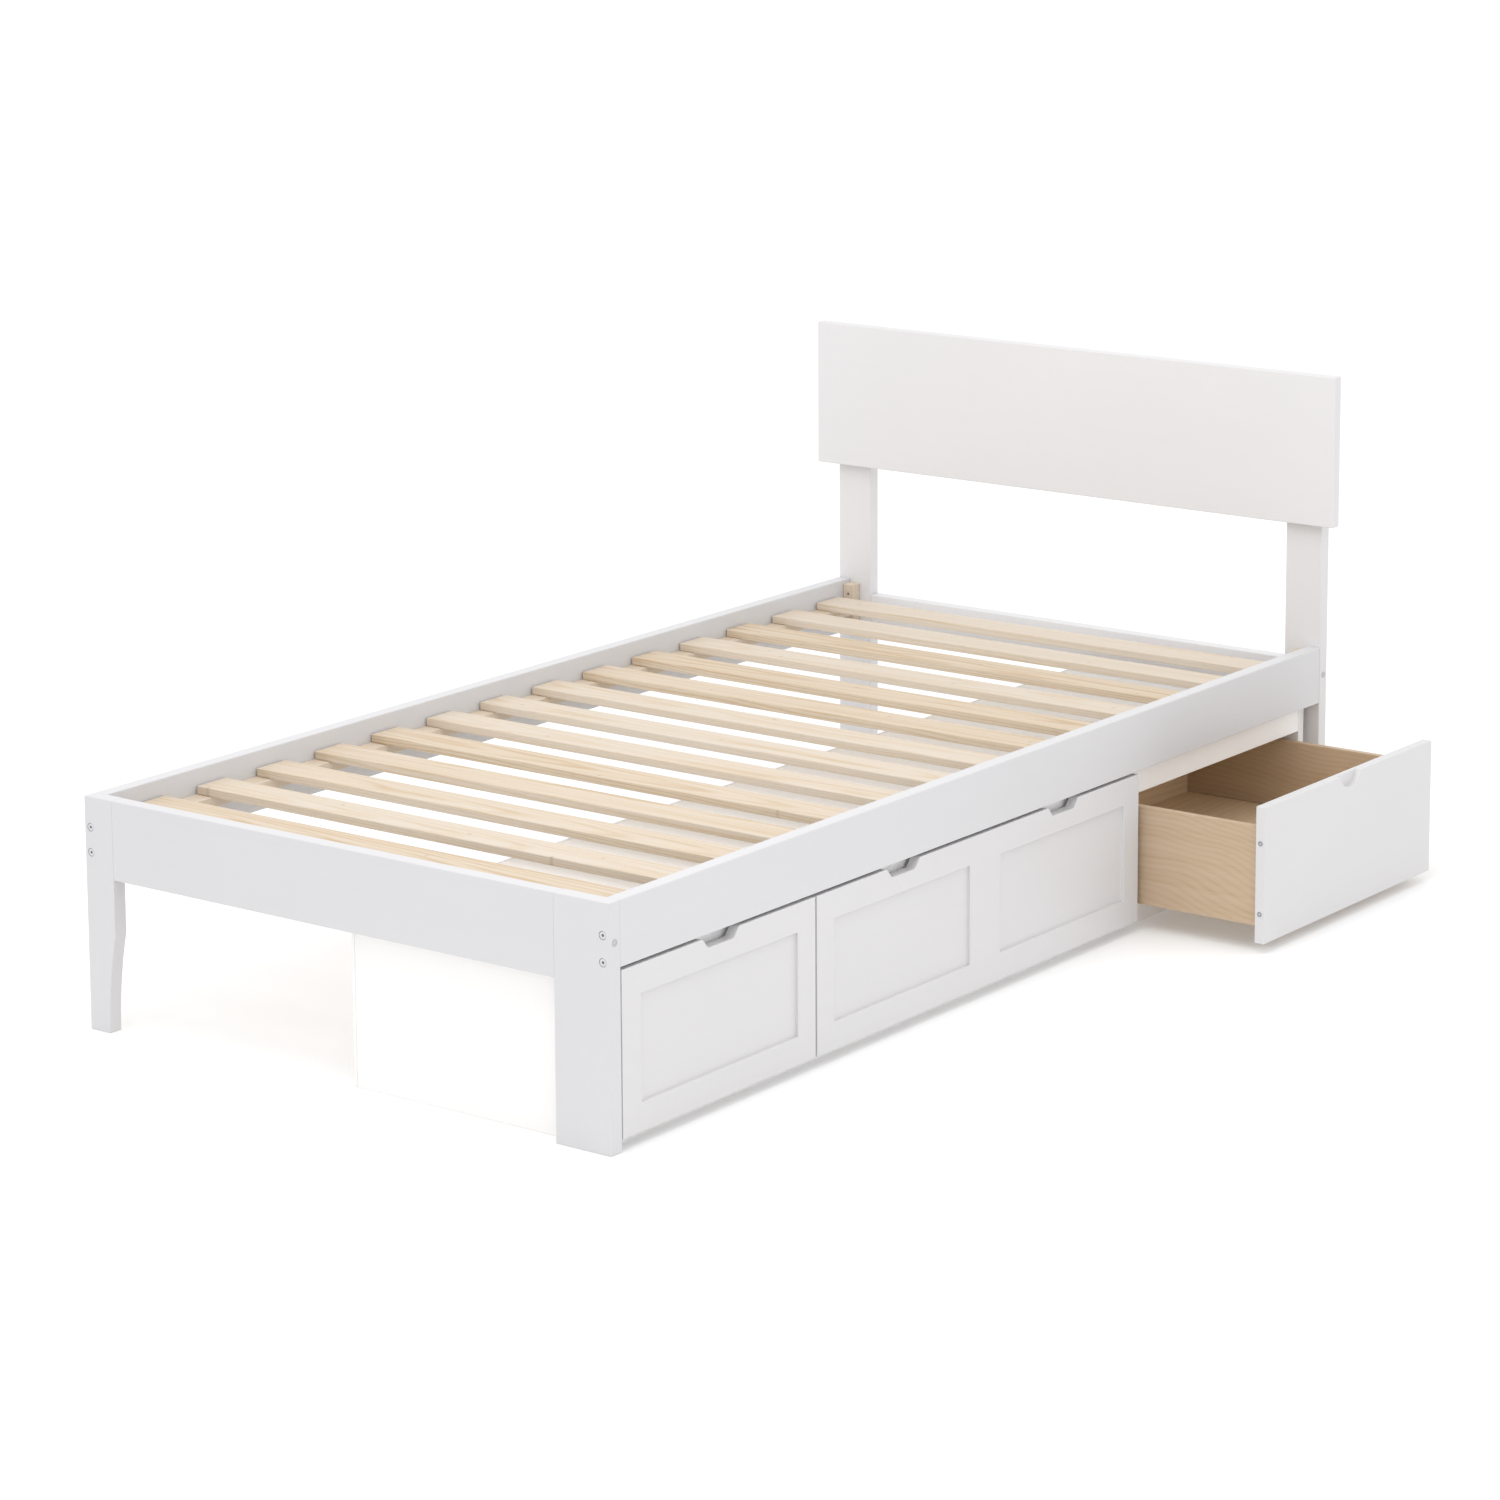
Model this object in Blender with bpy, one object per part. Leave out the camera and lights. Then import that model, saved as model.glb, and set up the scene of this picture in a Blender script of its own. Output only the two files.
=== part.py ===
"""Single slatted bed with a panel headboard and three drawers under its right-hand rail.

Metres, +Z up. Bed coordinates: X from the centreline (+X is the drawer side), Y from the front of the
foot legs to the head, Z from the floor. The empty "bed" shifts them so that the origin is on the floor,
under the middle of the bed's bounding box, with the head drawer standing open.
"""
import math

import bmesh
import bpy
from mathutils import Vector

# Frame
BED_WIDTH = 1.060           # over the outer faces of the side rails
RAIL_SPAN = 2.020           # back of the foot legs to front of the head posts
BOARD = 0.025               # thickness of legs, posts and rails
RAIL_TOP = 0.384            # top of the side and foot rails above the floor
SIDE_RAIL_HEIGHT = 0.102
FOOT_RAIL_HEIGHT = 0.130
LEFT_LEG_WIDTH = 0.060
LEFT_LEG_TOE = 0.042        # width of the left leg at the floor
LEG_CURVE_HEIGHT = 0.165    # where the left leg's inner edge starts to curve in
RIGHT_LEG_WIDTH = 0.104

# Headboard
POST_WIDTH = 0.073
PANEL_TOP = 0.880
PANEL_HEIGHT = 0.271
PANEL_THICKNESS = 0.022
PANEL_OVERHANG = 0.034      # beyond the posts, on each side
POST_SETDOWN = 0.012        # post tops below the panel's top
CROSS_RAIL_HEIGHT = 0.060
CROSS_RAIL_DROP = 0.027     # cross rail's top below the side rails' top

# Slat deck
SLAT_COUNT = 14
SLAT_WIDTH = 0.068
SLAT_THICKNESS = 0.014
SLAT_DROP = 0.028           # slat tops below the rails' top
SLAT_FOOT_MARGIN = 0.060    # bare gap between the foot rail and the first slat
SLAT_HEAD_MARGIN = 0.046    # bare gap between the last slat and the head posts
SLAT_PLAY = 0.003           # gap at each end of a slat
LEDGE_WIDTH = 0.035
LEDGE_HEIGHT = 0.018
CORNER_BLOCK = 0.023        # side of the square head corner blocks
CORNER_BLOCK_DROP = 0.007   # block tops below the rails' top
BLOCK_HOLE_RADIUS = 0.003   # screw hole in the face towards the foot
BLOCK_HOLE_DROP = 0.019     # below the block's top
BLOCK_HOLE_DEPTH = 0.012

# Leg bolts
BOLT_HEAD_RADIUS = 0.0065
BOLT_HEAD_HEIGHT = 0.0030
BOLT_SHANK_RADIUS = 0.0030
BOLT_SOCKET_RADIUS = 0.0026
BOLT_SOCKET_DEPTH = 0.0018
BOLT_LENGTH = 0.070         # under the head
BOLT_INSET = 0.0006         # head below the leg's face
BOLT_CLEARANCE = 0.0004     # round the head and the shank
BOLT_EDGE = 0.011           # lower bolt above the side rail's bottom edge
BOLT_SPACING = 0.041

# Drawer bay
BAY_PANEL = 0.018           # thickness of end panels, apron and base rail
PARTITION = 0.016
THIN_PANEL = 0.006          # back and top panels
APRON_REACH = 0.050         # apron below the side rail's bottom edge
APRON_LAP = 0.020           # apron behind the side rail
BASE_RAIL_HEIGHT = 0.035
BASE_RAIL_SETBACK = 0.004
BAY_TOP_GAP = 0.004         # bay's top below the side rail's bottom edge
BAY_HEAD_GAP = 0.010        # between the bay's head end panel and the head posts
BAY_BACK_PLAY = 0.019       # behind a closed drawer
BEARER_TOP = 0.0453         # running surface of the drawers
BEARER_MARGIN = 0.004       # bearer beyond a drawer side

# Drawers
FRONT_THICKNESS = 0.018
FRONT_FLOOR_GAP = 0.019
FRONT_TOP_GAP = 0.005       # under the side rail
FRONT_GAP = 0.004           # between neighbours
FRONT_FOOT_GAP = 0.003      # beside the foot leg
FOOT_FRONT_WIDTH = 0.480
HEAD_FRONT_WIDTH = 0.570    # the middle front fills what is left
HEAD_FRONT_DROP = 0.022     # the plain head front is this much lower than the framed ones
FRAME_STILE = 0.046         # flat margin round the recessed fields
FRAME_MID_STILE = 0.088
FIELD_RECESS = 0.005
NOTCH_WIDTH = 0.096
NOTCH_FLOOR = 0.058
NOTCH_DEPTH = 0.016
SCOOP_RADIUS = 0.037
SCOOP_RISE = 0.013          # centre of the scoop's circle above the front's top edge
SCOOP_DEPTH = 0.010
BOX_DEPTH = 0.480
BOX_SIDE = 0.012
BOX_BOTTOM = 0.005
BOX_BOTTOM_LIFT = 0.042     # bottom panel above the lower edge of the sides
BOX_GROOVE = 0.005
BOX_TOP_GAP = 0.014         # sides below the apron
BOX_REVEAL = 0.009          # front beyond a side
SIDE_PLAY = 0.003           # between a drawer side and the bay
RUN_GAP = 0.0007            # between a drawer side and its bearer
HEAD_DRAWER_OPEN = 0.246    # how far the head drawer stands open

FIT = 0.0003                # gap between faces that touch
EASE = 0.0015               # eased arris of the visible boards
FINE_EASE = 0.0008          # eased arris of drawer parts
EASE_ANGLE = math.radians(40)
SEAM_REACH = 0.0005         # edges this close to a seam plane belong to it
CUT_PAST = 0.010            # cutters run this far past a face
CURVE_STEPS = 10

# Places that follow from the sizes
SIDE_FACE = BED_WIDTH / 2
RAIL_INNER = SIDE_FACE - BOARD
HEAD_FACE = BOARD + RAIL_SPAN
BED_LENGTH = HEAD_FACE + BOARD
SIDE_RAIL_BOTTOM = RAIL_TOP - SIDE_RAIL_HEIGHT
FOOT_RAIL_BOTTOM = RAIL_TOP - FOOT_RAIL_HEIGHT
SLAT_TOP = RAIL_TOP - SLAT_DROP
SLAT_BOTTOM = SLAT_TOP - SLAT_THICKNESS
PANEL_HALF = SIDE_FACE + PANEL_OVERHANG
BAY_FRONT = RAIL_INNER - FIT
APRON_BACK = BAY_FRONT - BAY_PANEL
APRON_BOTTOM = SIDE_RAIL_BOTTOM - APRON_REACH
BAY_TOP = SIDE_RAIL_BOTTOM - BAY_TOP_GAP
FRONT_BACK = SIDE_FACE - FRONT_THICKNESS
FRONT_TOP = SIDE_RAIL_BOTTOM - FRONT_TOP_GAP
HEAD_FRONT_TOP = FRONT_TOP - HEAD_FRONT_DROP
BOX_FRONT = FRONT_BACK - FIT
BOX_BACK = BOX_FRONT - BOX_DEPTH
BOX_LOW = BEARER_TOP + RUN_GAP
BOX_HIGH = APRON_BOTTOM - BOX_TOP_GAP
BAY_BACK = BOX_BACK - BAY_BACK_PLAY
BAY_FOOT_WALL = BOARD + FIT + BAY_PANEL
BAY_HEAD_WALL = HEAD_FACE - BAY_HEAD_GAP - BAY_PANEL
FOOT_FRONT = (BOARD + FRONT_FOOT_GAP, BOARD + FRONT_FOOT_GAP + FOOT_FRONT_WIDTH)
HEAD_FRONT = (BAY_HEAD_WALL - FRONT_GAP - HEAD_FRONT_WIDTH, BAY_HEAD_WALL - FRONT_GAP)
MIDDLE_FRONT = (FOOT_FRONT[1] + FRONT_GAP, HEAD_FRONT[0] - FRONT_GAP)
PARTITIONS = (FOOT_FRONT[1] + FRONT_GAP / 2, HEAD_FRONT[0] - FRONT_GAP / 2)
BOLT_HEIGHTS = (SIDE_RAIL_BOTTOM + BOLT_EDGE, SIDE_RAIL_BOTTOM + BOLT_EDGE + BOLT_SPACING)
ORIGIN = Vector(((SIDE_FACE + HEAD_DRAWER_OPEN - PANEL_HALF) / 2, BED_LENGTH / 2, 0.0))


def clear_scene():
    for old in list(bpy.data.objects):
        bpy.data.objects.remove(old, do_unlink=True)


def finish(name, colour, roughness, metallic=0.0):
    """A plain Principled material."""
    material = bpy.data.materials.new(name)
    material.use_nodes = True
    shader = material.node_tree.nodes["Principled BSDF"]
    shader.inputs["Base Color"].default_value = (*colour, 1.0)
    shader.inputs["Roughness"].default_value = roughness
    shader.inputs["Metallic"].default_value = metallic
    return material


def empty(name, place, parent=None):
    """A frame at `place` in bed coordinates."""
    frame = bpy.data.objects.new(name, None)
    bpy.context.collection.objects.link(frame)
    frame.parent = parent
    frame.location = Vector(place) - (Vector(parent["place"]) if parent else ORIGIN)
    frame["place"] = tuple(place)
    return frame


def piece(name, mesh, centre, parent, material):
    """An object whose mesh is centred on its own origin, at `centre` in bed coordinates."""
    part = bpy.data.objects.new(name, mesh)
    bpy.context.collection.objects.link(part)
    part.parent = parent
    part.location = Vector(centre) - Vector(parent["place"])
    part.data.materials.append(material)
    return part


def prism_mesh(name, outline, axis, start, end):
    """A closed prism: a 2-D outline in the two other axes, in X, Y, Z order, run from start to end."""
    others = [i for i in range(3) if i != axis]
    mesh = bmesh.new()
    loop = []
    for point in outline:
        spot = Vector((0.0, 0.0, 0.0))
        spot[others[0]], spot[others[1]] = point
        spot[axis] = start
        loop.append(mesh.verts.new(spot))
    face = mesh.faces.new(loop)
    swept = bmesh.ops.extrude_face_region(mesh, geom=[face])
    run = Vector((0.0, 0.0, 0.0))
    run[axis] = end - start
    bmesh.ops.translate(mesh, verts=[v for v in swept["geom"] if isinstance(v, bmesh.types.BMVert)], vec=run)
    bmesh.ops.recalc_face_normals(mesh, faces=mesh.faces)
    data = bpy.data.meshes.new(name)
    mesh.to_mesh(data)
    mesh.free()
    corners = [v.co.copy() for v in data.vertices]
    middle = Vector([(min(c[i] for c in corners) + max(c[i] for c in corners)) / 2 for i in range(3)])
    for vertex in data.vertices:
        vertex.co -= middle
    return data, middle


def prism(name, outline, axis, start, end, parent, material, ease=0.0, seams=()):
    """A prism whose edges are eased, except those that lie in a seam: an (axis, place) plane it shares."""
    data, middle = prism_mesh(name, outline, axis, start, end)
    if seams:
        keep_seams_sharp(data, middle, seams)
    part = piece(name, data, middle, parent, material)
    if ease:
        ease_edges(part, ease, "WEIGHT" if seams else "ANGLE")
    return part


def board(name, low, high, parent, material, ease=EASE, seams=()):
    """A straight board between two corners."""
    outline = [(low[0], low[1]), (high[0], low[1]), (high[0], high[1]), (low[0], high[1])]
    return prism(name, outline, 2, low[2], high[2], parent, material, ease, seams)


def keep_seams_sharp(data, middle, seams):
    """Weight a mesh's corners for easing, and leave the ones in a seam plane out."""
    mesh = bmesh.new()
    mesh.from_mesh(data)
    weight = mesh.edges.layers.float.new("bevel_weight_edge")
    for edge in mesh.edges:
        sharp = edge.calc_face_angle(0.0) > EASE_ANGLE
        shared = any(abs(v.co[axis] + middle[axis] - place) < SEAM_REACH for axis, place in seams
                     for v in edge.verts if edge.other_vert(v).co[axis] == v.co[axis])
        edge[weight] = 1.0 if sharp and not shared else 0.0
    mesh.to_mesh(data)
    mesh.free()


def ease_edges(part, width, limit):
    bevel = part.modifiers.new("Eased edges", "BEVEL")
    bevel.width = width
    bevel.segments = 2
    bevel.limit_method = limit
    bevel.angle_limit = EASE_ANGLE


def cut(part, cutter, eased=True):
    """Take the cutter's shape out of the part. An eased cut comes before the part's edges are eased."""
    cutter.hide_render = True
    cutter.display_type = "WIRE"
    taken = part.modifiers.new("Cut", "BOOLEAN")
    taken.operation = "DIFFERENCE"
    taken.solver = "EXACT"
    taken.object = cutter
    bevels = [m.name for m in part.modifiers if m.type == "BEVEL"]
    if eased and bevels:
        part.modifiers.move(part.modifiers.find(taken.name), part.modifiers.find(bevels[0]))


def circle(radius, steps, centre=(0.0, 0.0)):
    turns = [2 * math.pi * i / steps for i in range(steps)]
    return [(centre[0] + radius * math.cos(t), centre[1] + radius * math.sin(t)) for t in turns]


def mirrored(x_low, x_high, side):
    """The same stretch of X on the right (+1) or the left (-1) of the bed."""
    return (x_low, x_high) if side > 0 else (-x_high, -x_low)


# Headboard

def make_headboard(bed, paint):
    back = HEAD_FACE + BOARD
    for name, side in (("headboard_post_left", -1), ("headboard_post_right", 1)):
        low, high = mirrored(SIDE_FACE - POST_WIDTH, SIDE_FACE, side)
        board(name, (low, HEAD_FACE, 0.0), (high, back, PANEL_TOP - POST_SETDOWN), bed, paint)
    reach = SIDE_FACE - POST_WIDTH - FIT
    top = RAIL_TOP - CROSS_RAIL_DROP
    board("headboard_cross_rail", (-reach, HEAD_FACE, top - CROSS_RAIL_HEIGHT), (reach, back, top), bed, paint)
    face = HEAD_FACE - FIT - PANEL_THICKNESS
    board("headboard_panel", (-PANEL_HALF, face, PANEL_TOP - PANEL_HEIGHT),
          (PANEL_HALF, HEAD_FACE - FIT, PANEL_TOP), bed, paint)


# Foot end and side rails

def left_leg_outline():
    """Front view of the left leg: straight outside, inner edge curving in towards the toe."""
    outer = -SIDE_FACE
    outline = [(outer, RAIL_TOP), (outer, 0.0)]
    for i in range(CURVE_STEPS + 1):
        height = i / CURVE_STEPS
        width = LEFT_LEG_TOE + (LEFT_LEG_WIDTH - LEFT_LEG_TOE) * height ** 2
        outline.append((outer + width, LEG_CURVE_HEIGHT * height))
    outline.append((outer + LEFT_LEG_WIDTH, RAIL_TOP))
    return outline


def make_foot_end(bed, paint):
    """Legs and rail in one plane, so that they read as one board; their seams stay sharp."""
    left_seam = -SIDE_FACE + LEFT_LEG_WIDTH
    right_seam = SIDE_FACE - RIGHT_LEG_WIDTH
    left = prism("foot_leg_left", left_leg_outline(), 1, 0.0, BOARD, bed, paint, EASE,
                 ((0, left_seam), (1, BOARD)))
    right = board("foot_leg_right", (right_seam, 0.0, 0.0), (SIDE_FACE, BOARD, RAIL_TOP), bed, paint, EASE,
                  ((0, right_seam), (1, BOARD)))
    board("foot_rail", (left_seam + FIT, 0.0, FOOT_RAIL_BOTTOM), (right_seam - FIT, BOARD, RAIL_TOP), bed, paint,
          EASE, ((0, left_seam), (0, right_seam)))
    return left, right


def make_side_rails(bed, paint):
    rails = []
    for name, side in (("side_rail_left", -1), ("side_rail_right", 1)):
        low, high = mirrored(RAIL_INNER, SIDE_FACE, side)
        rails.append(board(name, (low, BOARD + FIT, SIDE_RAIL_BOTTOM), (high, HEAD_FACE - FIT, RAIL_TOP),
                           bed, paint, EASE, ((1, BOARD),)))
    return rails


def make_corner_blocks(bed, pine):
    for name, side in (("corner_block_left", -1), ("corner_block_right", 1)):
        low, high = mirrored(RAIL_INNER - FIT - CORNER_BLOCK, RAIL_INNER - FIT, side)
        face = HEAD_FACE - FIT - CORNER_BLOCK
        top = RAIL_TOP - CORNER_BLOCK_DROP
        block = board(name, (low, face, SIDE_RAIL_BOTTOM), (high, HEAD_FACE - FIT, top), bed, pine)
        ring = circle(BLOCK_HOLE_RADIUS, 24, ((low + high) / 2, top - BLOCK_HOLE_DROP))
        hole = prism(f"{name}_hole", ring, 1, face - CUT_PAST, face + BLOCK_HOLE_DEPTH, bed, pine)
        cut(block, hole, False)


# Leg bolts

def bolt_mesh(name):
    """A flat-headed bolt along +Y from the outer face of its head, with a six-sided socket."""
    steps = 24

    def ring(radius, depth, sides=0):
        points = []
        for i in range(steps):
            turn = 2 * math.pi * i / steps
            reach = radius
            if sides:
                flat = 2 * math.pi / sides
                reach = radius * math.cos(flat / 2) / math.cos((turn % flat) - flat / 2)
            points.append(Vector((reach * math.cos(turn), depth, reach * math.sin(turn))))
        return points

    end = BOLT_HEAD_HEIGHT + BOLT_LENGTH
    rings = (ring(BOLT_SOCKET_RADIUS, BOLT_SOCKET_DEPTH, 6), ring(BOLT_SOCKET_RADIUS, 0.0, 6),
             ring(BOLT_HEAD_RADIUS, 0.0), ring(BOLT_HEAD_RADIUS, BOLT_HEAD_HEIGHT),
             ring(BOLT_SHANK_RADIUS, BOLT_HEAD_HEIGHT), ring(BOLT_SHANK_RADIUS, end))
    mesh = bmesh.new()
    loops = [[mesh.verts.new(spot) for spot in points] for points in rings]
    mesh.faces.new(loops[0])
    mesh.faces.new(loops[-1])
    for first, second in zip(loops, loops[1:]):
        for i in range(steps):
            j = (i + 1) % steps
            mesh.faces.new((first[i], first[j], second[j], second[i]))
    bmesh.ops.recalc_face_normals(mesh, faces=mesh.faces)
    data = bpy.data.meshes.new(name)
    mesh.to_mesh(data)
    mesh.free()
    data.shade_smooth()
    data.set_sharp_from_angle(angle=math.radians(30))
    return data


def make_leg_bolts(bed, steel, legs, rails):
    """Two bolts through the front of each foot leg into the end of its side rail."""
    data = bolt_mesh("leg_bolt")
    sides = (("left", -1, legs[0], rails[0]), ("right", 1, legs[1], rails[1]))
    for label, side, leg, rail in sides:
        x = side * (SIDE_FACE - BOARD / 2)
        for place, z in zip(("lower", "upper"), BOLT_HEIGHTS):
            name = f"leg_bolt_{label}_{place}"
            piece(name, data, (x, BOLT_INSET, z), bed, steel)
            bore = circle(BOLT_SHANK_RADIUS + BOLT_CLEARANCE, 24, (x, z))
            sink = circle(BOLT_HEAD_RADIUS + BOLT_CLEARANCE, 24, (x, z))
            reach = BOLT_INSET + BOLT_HEAD_HEIGHT + BOLT_LENGTH + BOLT_CLEARANCE
            seat = BOLT_INSET + BOLT_HEAD_HEIGHT + FIT
            cut(leg, prism(f"{name}_sink", sink, 1, -CUT_PAST, seat, bed, steel), False)
            cut(leg, prism(f"{name}_bore", bore, 1, seat - FIT, BOARD + CUT_PAST, bed, steel), False)
            cut(rail, prism(f"{name}_pilot", bore, 1, BOARD - CUT_PAST, reach, bed, steel), False)


# Slat deck

def make_slat_deck(bed, pine):
    ledge_end = HEAD_FACE - 2 * FIT - CORNER_BLOCK
    for name, side in (("slat_ledge_left", -1), ("slat_ledge_right", 1)):
        low, high = mirrored(RAIL_INNER - FIT - LEDGE_WIDTH, RAIL_INNER - FIT, side)
        board(name, (low, BOARD + FIT, SLAT_BOTTOM - FIT - LEDGE_HEIGHT), (high, ledge_end, SLAT_BOTTOM - FIT),
              bed, pine)
    first = BOARD + SLAT_FOOT_MARGIN
    pitch = (RAIL_SPAN - SLAT_FOOT_MARGIN - SLAT_HEAD_MARGIN - SLAT_WIDTH) / (SLAT_COUNT - 1)
    reach = RAIL_INNER - SLAT_PLAY
    for i in range(SLAT_COUNT):
        start = first + i * pitch
        board(f"slat_{i + 1:02d}", (-reach, start, SLAT_BOTTOM), (reach, start + SLAT_WIDTH, SLAT_TOP), bed, pine)


# Drawer bay

def box_limits(front, walls):
    """Outer faces of a drawer box, kept inside its front and clear of the bay's walls."""
    return max(front[0] + BOX_REVEAL, walls[0] + SIDE_PLAY), min(front[1] - BOX_REVEAL, walls[1] - SIDE_PLAY)


def bay_cells():
    """Name, front and box stretch along Y of each drawer, from foot to head."""
    half = PARTITION / 2
    walls = ((BAY_FOOT_WALL, PARTITIONS[0] - half), (PARTITIONS[0] + half, PARTITIONS[1] - half),
             (PARTITIONS[1] + half, BAY_HEAD_WALL))
    fronts = (FOOT_FRONT, MIDDLE_FRONT, HEAD_FRONT)
    return [(name, front, box_limits(front, wall))
            for name, front, wall in zip(("foot", "middle", "head"), fronts, walls)]


def make_bay(bed, paint):
    start = BAY_FOOT_WALL + FIT
    end = BAY_HEAD_WALL - FIT
    outer_foot = BOARD + FIT
    outer_head = BAY_HEAD_WALL + BAY_PANEL
    back = BAY_BACK + FIT
    board("bay_apron", (APRON_BACK, start, APRON_BOTTOM), (BAY_FRONT, end, SIDE_RAIL_BOTTOM + APRON_LAP), bed, paint)
    base_face = BAY_FRONT - BASE_RAIL_SETBACK
    board("bay_base_rail", (base_face - BAY_PANEL, start, 0.0), (base_face, end, BASE_RAIL_HEIGHT), bed, paint)
    board("bay_end_panel_foot", (back, outer_foot, 0.0), (BAY_FRONT, BAY_FOOT_WALL, BAY_TOP), bed, paint)
    board("bay_end_panel_head", (back, BAY_HEAD_WALL, 0.0), (BAY_FRONT, outer_head, BAY_TOP), bed, paint)
    board("bay_back_panel", (BAY_BACK - THIN_PANEL, outer_foot, 0.0), (BAY_BACK, outer_head, BAY_TOP), bed, paint)
    board("bay_top_panel", (back, start, BAY_TOP - THIN_PANEL), (APRON_BACK - FIT, end, BAY_TOP), bed, paint)
    low = BEARER_TOP + FIT
    high = BAY_TOP - THIN_PANEL - FIT
    notch = APRON_BOTTOM - FIT
    outline = [(back, low), (BAY_FRONT, low), (BAY_FRONT, notch), (APRON_BACK - FIT, notch),
               (APRON_BACK - FIT, high), (back, high)]
    for name, centre in zip(("bay_partition_foot", "bay_partition_head"), PARTITIONS):
        prism(name, outline, 1, centre - PARTITION / 2, centre + PARTITION / 2, bed, paint, EASE)
    make_bearers(bed, paint, back, base_face - BAY_PANEL - FIT, start, end)


def make_bearers(bed, paint, back, front, start, end):
    """Strips across the bay that the drawer sides run on: one at each end, one under each partition."""
    foot, middle, head = (box for _, _, box in bay_cells())
    grip = BOX_SIDE + BEARER_MARGIN
    spans = (("bay_bearer_foot", start, foot[0] + grip), ("bay_bearer_foot_middle", foot[1] - grip, middle[0] + grip),
             ("bay_bearer_middle_head", middle[1] - grip, head[0] + grip), ("bay_bearer_head", head[1] - grip, end))
    for name, low, high in spans:
        board(name, (back, low, 0.0), (front, high, BEARER_TOP), bed, paint, FINE_EASE)


# Drawers

def notch_points(centre, top):
    """Points across the top edge, from low Y to high Y, that dip into a finger notch with S-curved sides."""
    points = []
    slope = (NOTCH_WIDTH - NOTCH_FLOOR) / 2
    for i in range(CURVE_STEPS + 1):
        step = i / CURVE_STEPS
        points.append((centre - NOTCH_WIDTH / 2 + slope * step, top - NOTCH_DEPTH * (1 - math.cos(math.pi * step)) / 2))
    return points + [(2 * centre - y, z) for y, z in reversed(points)]


def front_outline(front, top, notches):
    """Front view of a drawer front, in Y and Z."""
    outline = [(front[1], top), (front[1], FRONT_FLOOR_GAP), (front[0], FRONT_FLOOR_GAP), (front[0], top)]
    for centre in notches:
        outline += notch_points(centre, top)
    return outline


def fields(front, count):
    """Stretches along Y of the recessed fields of a framed front."""
    inner = front[1] - front[0] - 2 * FRAME_STILE - (count - 1) * FRAME_MID_STILE
    width = inner / count
    starts = [front[0] + FRAME_STILE + i * (width + FRAME_MID_STILE) for i in range(count)]
    return [(start, start + width) for start in starts]


def make_framed_front(name, front, count, drawer, paint):
    """A front with recessed fields, and a finger notch over the middle of each."""
    spans = fields(front, count)
    outline = front_outline(front, FRONT_TOP, [(low + high) / 2 for low, high in spans])
    part = prism(name, outline, 0, FRONT_BACK, SIDE_FACE, drawer, paint, FINE_EASE)
    for i, (low, high) in enumerate(spans):
        cutter = board(f"{name}_field_{i + 1}", (SIDE_FACE - FIELD_RECESS, low, FRONT_FLOOR_GAP + FRAME_STILE),
                       (SIDE_FACE + CUT_PAST, high, FRONT_TOP - FRAME_STILE), drawer, paint, 0.0)
        cut(part, cutter)
    return part


def make_plain_front(name, front, drawer, paint):
    """A flat front with a blind half-round scoop in its top edge."""
    part = prism(name, front_outline(front, HEAD_FRONT_TOP, ()), 0, FRONT_BACK, SIDE_FACE, drawer, paint, FINE_EASE)
    ring = circle(SCOOP_RADIUS, 48, ((front[0] + front[1]) / 2, HEAD_FRONT_TOP + SCOOP_RISE))
    cut(part, prism(f"{name}_scoop", ring, 0, SIDE_FACE - SCOOP_DEPTH, SIDE_FACE + CUT_PAST, drawer, paint))
    return part


def side_outline(outer, inner):
    """End view of a drawer side, with the groove that holds the bottom panel in its inner face."""
    groove = inner - math.copysign(BOX_GROOVE, inner - outer)
    low = BOX_LOW + BOX_BOTTOM_LIFT
    high = low + BOX_BOTTOM + 2 * FIT
    return [(outer, BOX_LOW), (inner, BOX_LOW), (inner, low), (groove, low), (groove, high), (inner, high),
            (inner, BOX_HIGH), (outer, BOX_HIGH)]


def make_box(label, box, drawer, timber, ply):
    """Two grooved sides, a back that stands on the bottom panel, and the bottom panel."""
    foot_inner = box[0] + BOX_SIDE
    head_inner = box[1] - BOX_SIDE
    prism(f"drawer_{label}_side_foot", side_outline(box[0], foot_inner), 0, BOX_BACK, BOX_FRONT, drawer, timber,
          FINE_EASE)
    prism(f"drawer_{label}_side_head", side_outline(box[1], head_inner), 0, BOX_BACK, BOX_FRONT, drawer, timber,
          FINE_EASE)
    low = BOX_LOW + BOX_BOTTOM_LIFT + FIT
    tongue = BOX_GROOVE - FIT
    board(f"drawer_{label}_bottom", (BOX_BACK, foot_inner - tongue, low),
          (BOX_FRONT, head_inner + tongue, low + BOX_BOTTOM), drawer, ply, 0.0)
    board(f"drawer_{label}_back", (BOX_BACK, foot_inner + FIT, low + BOX_BOTTOM + FIT),
          (BOX_BACK + BOX_SIDE, head_inner - FIT, BOX_HIGH), drawer, timber, FINE_EASE)


def make_drawers(bed, paint, timber, ply):
    for label, front, box in bay_cells():
        top = HEAD_FRONT_TOP if label == "head" else FRONT_TOP
        handle = (SIDE_FACE, (front[0] + front[1]) / 2, top)
        drawer = empty(f"drawer_{label}", handle, bed)
        if label == "head":
            make_plain_front(f"drawer_{label}_front", front, drawer, paint)
        else:
            make_framed_front(f"drawer_{label}_front", front, 1 if label == "foot" else 2, drawer, paint)
        make_box(label, box, drawer, timber, ply)
        if label == "head":
            drawer.location.x += HEAD_DRAWER_OPEN


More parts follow.
